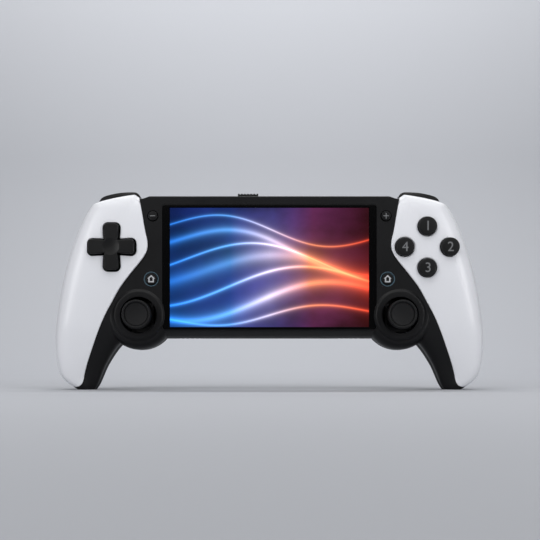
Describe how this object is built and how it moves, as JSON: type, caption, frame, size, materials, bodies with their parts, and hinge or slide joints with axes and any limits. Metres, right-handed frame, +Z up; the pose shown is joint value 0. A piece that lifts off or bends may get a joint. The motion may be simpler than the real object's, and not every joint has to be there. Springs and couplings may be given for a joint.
{
  "type": "handheld game console",
  "caption": "Wide handheld game console with drooping grips, white faceplates, a centre screen, direction pad, face buttons, thumb sticks, bumpers and triggers.",
  "frame": {"origin": "middle of the bounding box at the bottom, on the table plane between the two grip tips", "axes": "+X is the player's right, +Z is up, the screen looks along -Y"},
  "size_m": [0.2346, 0.048, 0.1092],
  "materials": {
    "black_shell": "satin moulded",
    "white_shell": "satin moulded",
    "screen_glass": "polished",
    "display": "lit panel",
    "gasket_foam": "matte",
    "circuit_board": "lacquered",
    "battery_wrap": "foil",
    "key_plastic": "fine grain",
    "key_rubber": "matte",
    "thumb_rubber": "matte",
    "light_ring": "frosted",
    "inner_plastic": "moulded",
    "steel": "plain",
    "ribbon_film": "film"
  },
  "bodies": {
    "console": {"front_housing": "black_shell", "rear_housing": "black_shell", "left_stick_collar": "black_shell", "right_stick_collar": "black_shell", "left_faceplate": "white_shell", "right_faceplate": "white_shell", "screen_glass": "screen_glass", "lcd_panel": "display", "lcd_gasket": "gasket_foam", "main_board": "circuit_board", "left_key_board": "circuit_board", "right_key_board": "circuit_board", "battery": "battery_wrap", "dpad_membrane": "key_rubber", "button_membrane": "key_rubber", "left_home_ring": "light_ring", "right_home_ring": "light_ring", "dpad_stand": "inner_plastic", "left_stick_module": "inner_plastic", "right_stick_module": "inner_plastic", "left_shoulder_bracket": "inner_plastic", "right_shoulder_bracket": "inner_plastic", "headphone_jack": "inner_plastic", "left_speaker": "inner_plastic", "right_speaker": "inner_plastic", "chip_shield": "steel", "key_switches": "steel", "shoulder_pins": "steel", "left_trigger_spring": "steel", "right_trigger_spring": "steel", "slide_switch": "steel", "usb_port": "steel", "card_slot": "steel", "case_screws": "steel", "board_screws": "steel", "display_ribbon": "ribbon_film"},
    "dpad_rocker": {"dpad_rocker": "steel"},
    "dpad": {"dpad": "key_plastic"},
    "button_north": {"button_north": "key_plastic"},
    "button_east": {"button_east": "key_plastic"},
    "button_south": {"button_south": "key_plastic"},
    "button_west": {"button_west": "key_plastic"},
    "minus_button": {"minus_button": "key_plastic"},
    "plus_button": {"plus_button": "key_plastic"},
    "left_home_button": {"left_home_button": "key_plastic"},
    "right_home_button": {"right_home_button": "key_plastic"},
    "left_stick_yoke": {"left_stick_yoke": "steel"},
    "left_stick_pivot": {"left_stick_pivot": "steel"},
    "left_stick": {"left_stick_shaft": "steel", "left_stick_cap": "thumb_rubber"},
    "right_stick_yoke": {"right_stick_yoke": "steel"},
    "right_stick_pivot": {"right_stick_pivot": "steel"},
    "right_stick": {"right_stick_shaft": "steel", "right_stick_cap": "thumb_rubber"},
    "left_bumper": {"left_bumper": "key_plastic"},
    "right_bumper": {"right_bumper": "key_plastic"},
    "left_trigger": {"left_trigger": "key_plastic"},
    "right_trigger": {"right_trigger": "key_plastic"},
    "power_slider": {"power_slider": "key_plastic"}
  },
  "joints": [
    {"name": "dpad_rock_up_down", "type": "hinge", "parent": "console", "child": "dpad_rocker", "pos_m": [-0.0851, -0.0093, 0.0771], "axis": [1, 0, 0], "range_deg": [-5, 5], "stiffness_Nm_per_rad": 0.4, "deforming": ["dpad_membrane"]},
    {"name": "dpad_rock_left_right", "type": "hinge", "parent": "dpad_rocker", "child": "dpad", "pos_m": [-0.0851, -0.0093, 0.0771], "axis": [0, 0, 1], "range_deg": [-5, 5], "stiffness_Nm_per_rad": 0.4, "deforming": ["dpad_membrane"]},
    {"name": "button_north_press", "type": "slide", "parent": "console", "child": "button_north", "axis": [0, 1, 0], "range_m": [0, 0.001], "stiffness_N_per_m": 500, "springref_m": -0.0005, "deforming": ["button_membrane"]},
    {"name": "button_east_press", "type": "slide", "parent": "console", "child": "button_east", "axis": [0, 1, 0], "range_m": [0, 0.001], "stiffness_N_per_m": 500, "springref_m": -0.0005, "deforming": ["button_membrane"]},
    {"name": "button_south_press", "type": "slide", "parent": "console", "child": "button_south", "axis": [0, 1, 0], "range_m": [0, 0.001], "stiffness_N_per_m": 500, "springref_m": -0.0005, "deforming": ["button_membrane"]},
    {"name": "button_west_press", "type": "slide", "parent": "console", "child": "button_west", "axis": [0, 1, 0], "range_m": [0, 0.001], "stiffness_N_per_m": 500, "springref_m": -0.0005, "deforming": ["button_membrane"]},
    {"name": "minus_button_press", "type": "slide", "parent": "console", "child": "minus_button", "axis": [0, 1, 0], "range_m": [0, 0.00035], "stiffness_N_per_m": 800, "springref_m": -0.0003},
    {"name": "plus_button_press", "type": "slide", "parent": "console", "child": "plus_button", "axis": [0, 1, 0], "range_m": [0, 0.00035], "stiffness_N_per_m": 800, "springref_m": -0.0003},
    {"name": "left_home_button_press", "type": "slide", "parent": "console", "child": "left_home_button", "axis": [0, 1, 0], "range_m": [0, 0.00035], "stiffness_N_per_m": 800, "springref_m": -0.0003},
    {"name": "right_home_button_press", "type": "slide", "parent": "console", "child": "right_home_button", "axis": [0, 1, 0], "range_m": [0, 0.00035], "stiffness_N_per_m": 800, "springref_m": -0.0003},
    {"name": "left_stick_up_down", "type": "hinge", "parent": "console", "child": "left_stick_yoke", "pos_m": [-0.0707, -0.0025, 0.0404], "axis": [1, 0, 0], "range_deg": [-15, 15], "stiffness_Nm_per_rad": 0.03},
    {"name": "left_stick_left_right", "type": "hinge", "parent": "left_stick_yoke", "child": "left_stick_pivot", "pos_m": [-0.0707, -0.0025, 0.0404], "axis": [0, 0, 1], "range_deg": [-15, 15], "stiffness_Nm_per_rad": 0.03},
    {"name": "left_stick_press", "type": "slide", "parent": "left_stick_pivot", "child": "left_stick", "axis": [0, 1, 0], "range_m": [0, 0.0004], "stiffness_N_per_m": 2000, "springref_m": -0.0003},
    {"name": "right_stick_up_down", "type": "hinge", "parent": "console", "child": "right_stick_yoke", "pos_m": [0.0707, -0.0025, 0.0404], "axis": [1, 0, 0], "range_deg": [-15, 15], "stiffness_Nm_per_rad": 0.03},
    {"name": "right_stick_left_right", "type": "hinge", "parent": "right_stick_yoke", "child": "right_stick_pivot", "pos_m": [0.0707, -0.0025, 0.0404], "axis": [0, 0, 1], "range_deg": [-15, 15], "stiffness_Nm_per_rad": 0.03},
    {"name": "right_stick_press", "type": "slide", "parent": "right_stick_pivot", "child": "right_stick", "axis": [0, 1, 0], "range_m": [0, 0.0004], "stiffness_N_per_m": 2000, "springref_m": -0.0003},
    {"name": "left_bumper_press", "type": "hinge", "parent": "console", "child": "left_bumper", "pos_m": [-0.0827, 0.0054, 0.1018], "axis": [1, 0, 0], "range_deg": [0, 3], "stiffness_Nm_per_rad": 0.3, "springref_deg": -2.86},
    {"name": "left_trigger_pull", "type": "hinge", "parent": "console", "child": "left_trigger", "pos_m": [-0.0827, 0.0112, 0.0995], "axis": [-1, 0, 0], "range_deg": [0, 14], "stiffness_Nm_per_rad": 0.06, "springref_deg": -8.59, "deforming": ["left_trigger_spring"]},
    {"name": "right_bumper_press", "type": "hinge", "parent": "console", "child": "right_bumper", "pos_m": [0.0827, 0.0054, 0.1018], "axis": [1, 0, 0], "range_deg": [0, 3], "stiffness_Nm_per_rad": 0.3, "springref_deg": -2.86},
    {"name": "right_trigger_pull", "type": "hinge", "parent": "console", "child": "right_trigger", "pos_m": [0.0827, 0.0112, 0.0995], "axis": [-1, 0, 0], "range_deg": [0, 14], "stiffness_Nm_per_rad": 0.06, "springref_deg": -8.59, "deforming": ["right_trigger_spring"]},
    {"name": "power_slide", "type": "slide", "parent": "console", "child": "power_slider", "axis": [1, 0, 0], "range_m": [0, 0.003]}
  ]
}
